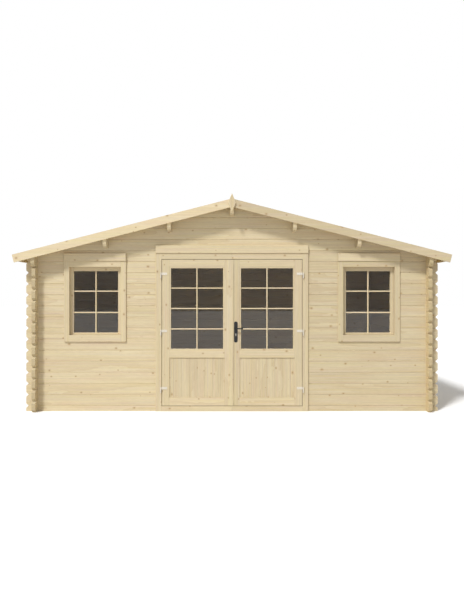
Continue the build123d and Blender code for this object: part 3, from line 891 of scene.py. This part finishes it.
for side, body in ((-1, "left_leaf"), (1, "right_leaf")):
    new_piece(f"{body}_hinge_screws", fill_strap_screws(side), zinc, body)

# %% [markdown]
# ## The lock
# A profile cylinder goes through both plates under the lever. What shows of it is a round nose with a
# narrow foot below, about 2 mm proud of the plate. A cylinder and a small bevelled block make that shape.

# %% Lock cylinder
keyhole_z = 0.940
nose_radius = 0.0075
nose_length, nose_sunk = 0.005, 0.0005
foot_half_width, foot_drop, foot_bevel = 0.005, 0.024, 0.001
foot_front, foot_back = 0.0025, 0.0020
plates_low, plates_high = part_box("handle_plates")
handle_x = (plates_low.x + plates_high.x) / 2


def fill_lock(bm):
    """The round nose of the cylinder with its narrow foot, on both plates."""
    for face, out in ((plates_low.y, -1), (plates_high.y, 1)):
        nose = bmesh.ops.create_cone(bm, cap_ends=True, segments=24, radius1=nose_radius,
                                     radius2=nose_radius, depth=nose_length)["verts"]
        bmesh.ops.rotate(bm, cent=(0, 0, 0), matrix=facing_front, verts=nose)
        bmesh.ops.translate(bm, vec=(handle_x, face - out * nose_sunk, keyhole_z), verts=nose)
        add_board(bm, (handle_x - foot_half_width, face - foot_front, keyhole_z - foot_drop),
                  (handle_x + foot_half_width, face + foot_back, keyhole_z), foot_bevel, "Z")


new_piece("lock_cylinder", fill_lock, nickel, "right_leaf")

# %% [markdown]
# ## Ground and background
# The picture has a white ground on which only the cabin's own shadow shows. The floor is a little brighter
# to the camera than to the light, so that it ends as pure white without lighting the cabin from below.
# Light Path tells the two apart, and it counts mirrors and glass as the camera.

# %% Floor
floor_half = 90.0
floor_colour, floor_seen_colour = "#E6E3DE", "#FFFFFF"
floor_lift = 0.05


def seen_by_camera(tree):
    """1 for rays that the camera sends, straight, by a mirror or through glass, and 0 for all others."""
    path = add_node(tree, "LightPath").outputs
    seen = add_node(tree, "Math", {0: path["Is Camera Ray"], 1: path["Is Glossy Ray"]}, operation="MAXIMUM")
    seen = add_node(tree, "Math", {0: seen.outputs[0], 1: path["Is Transmission Ray"]}, operation="MAXIMUM")
    return seen.outputs[0]


def make_floor_material():
    """Matt paper: it scatters all light evenly, so the eye sees only the shadow on it."""
    material, tree = new_material("Studio floor")
    seen = seen_by_camera(tree)
    tint = add_node(tree, "Mix",
                    {"Factor": seen, "A": linear(floor_colour), "B": linear(floor_seen_colour)},
                    data_type="RGBA")
    matt = add_node(tree, "BsdfDiffuse", {"Color": tint.outputs["Result"]})
    lift = add_node(tree, "Math", {0: seen, 1: floor_lift}, operation="MULTIPLY")
    glow = add_node(tree, "Emission", {"Strength": lift.outputs[0]})
    both = add_node(tree, "AddShader", {0: matt.outputs[0], 1: glow.outputs[0]})
    add_node(tree, "OutputMaterial", {"Surface": both.outputs[0]})
    return material


def stage_sheet(name, matrix, size, material):
    """A flat square that belongs to the picture and not to the cabin."""
    mesh = bpy.data.meshes.new(name)
    bm = bmesh.new()
    bmesh.ops.create_grid(bm, x_segments=1, y_segments=1, size=size, matrix=matrix)
    bm.to_mesh(mesh)
    bm.free()
    sheet = bpy.data.objects.new(name, mesh)
    bpy.context.scene.collection.objects.link(sheet)
    mesh.materials.append(material)
    return sheet


stage_sheet("studio_floor", Matrix.Identity(4), floor_half, make_floor_material())
print("the floor is", 2 * floor_half, "m wide")

# %% [markdown]
# ## A dark card for the glass
# The panes would mirror the white sky and look pale. A photographer puts a dark card behind the camera, so
# that the glass mirrors that instead. This one starts at the height where the picture's panes turn lighter.
# Only sharp reflections see it: to all other rays it is transparent, so it takes no light from the wood.

# %% Dark card
card_distance = 12.0
card_foot = 1.007
card_half = 40.0
card_colour = "#050505"


def make_card_material():
    """Black card in sharp reflections, and nothing at all to any other light."""
    material, tree = new_material("Dark card")
    sharp = add_node(tree, "LightPath").outputs["Is Singular Ray"]
    clear = add_node(tree, "BsdfTransparent")
    black = add_node(tree, "BsdfDiffuse", {"Color": linear(card_colour)})
    choice = add_node(tree, "MixShader", {0: sharp, 1: clear.outputs[0], 2: black.outputs[0]})
    add_node(tree, "OutputMaterial", {"Surface": choice.outputs[0]})
    return material


upright = Matrix.Rotation(math.radians(90), 4, "X")
card_place = Matrix.Translation((0, -card_distance, card_foot + card_half)) @ upright
card = stage_sheet("dark_card", card_place, card_half, make_card_material())
card.visible_camera = False
card.visible_diffuse = False
card.visible_transmission = False
card.visible_shadow = False
print("the card starts", card_foot, "m above the ground")

# %% [markdown]
# ## Sun and sky
# One soft sun stands high to the left of the viewer, and the sky fills in about as much light again. The
# sun's direction follows from the shadows of the fascias and purlins on the gable. Its wide angle softens
# their edges. The sky is white to the camera and weaker to the wood.

# %% Sun and sky
sun_travel = Vector((0.751, 1.0, -1.525))
sun_energy = 2.58
sun_degrees = 9
sky_strength = 0.395

sun_data = bpy.data.lights.new("soft_sun", "SUN")
sun_data.energy = sun_energy
sun_data.angle = math.radians(sun_degrees)
sun = bpy.data.objects.new("soft_sun", sun_data)
sun.rotation_euler = sun_travel.to_track_quat("-Z", "Y").to_euler()
bpy.context.scene.collection.objects.link(sun)

world = bpy.data.worlds.new("studio")
bpy.context.scene.world = world
world.use_nodes = True
sky = world.node_tree
sky.nodes.clear()
strength = add_node(sky, "MapRange", {"Value": seen_by_camera(sky), "To Min": sky_strength, "To Max": 1.0})
white = add_node(sky, "Background", {"Color": (1, 1, 1, 1), "Strength": strength.outputs[0]})
add_node(sky, "OutputWorld", {"Surface": white.outputs[0]})
bpy.context.scene.view_settings.view_transform = "Standard"
print("sun energy", sun_energy, "sky", sky_strength)

# %% Update the dressed cabin
bpy.context.view_layer.update()
